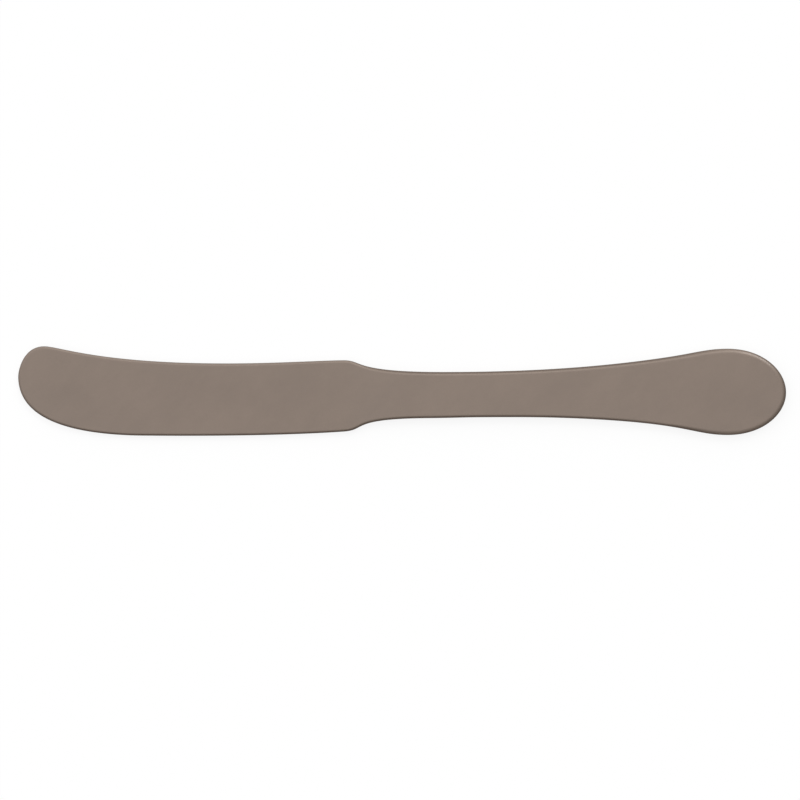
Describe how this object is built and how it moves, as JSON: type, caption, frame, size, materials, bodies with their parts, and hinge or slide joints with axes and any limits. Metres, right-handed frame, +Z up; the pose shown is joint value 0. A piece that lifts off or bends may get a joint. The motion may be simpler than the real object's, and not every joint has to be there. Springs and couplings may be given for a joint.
{
  "type": "butter knife",
  "caption": "Flat table butter knife with a broad upswept round-tipped blade, a short stepped shoulder and a waisted handle that flares to a round end.",
  "frame": {"origin": "middle of the outline's box, on the flat underside of the handle", "axes": "+X from the blade's tip towards the handle's end, +Y towards the spine, +Z up through the thickness"},
  "size_m": [0.17, 0.0198, 0.003],
  "materials": {
    "coated_steel": "matte",
    "braze_alloy": "satin"
  },
  "bodies": {
    "root": {"blade": "coated_steel", "handle": "coated_steel", "braze_joint": "braze_alloy"}
  },
  "joints": []
}
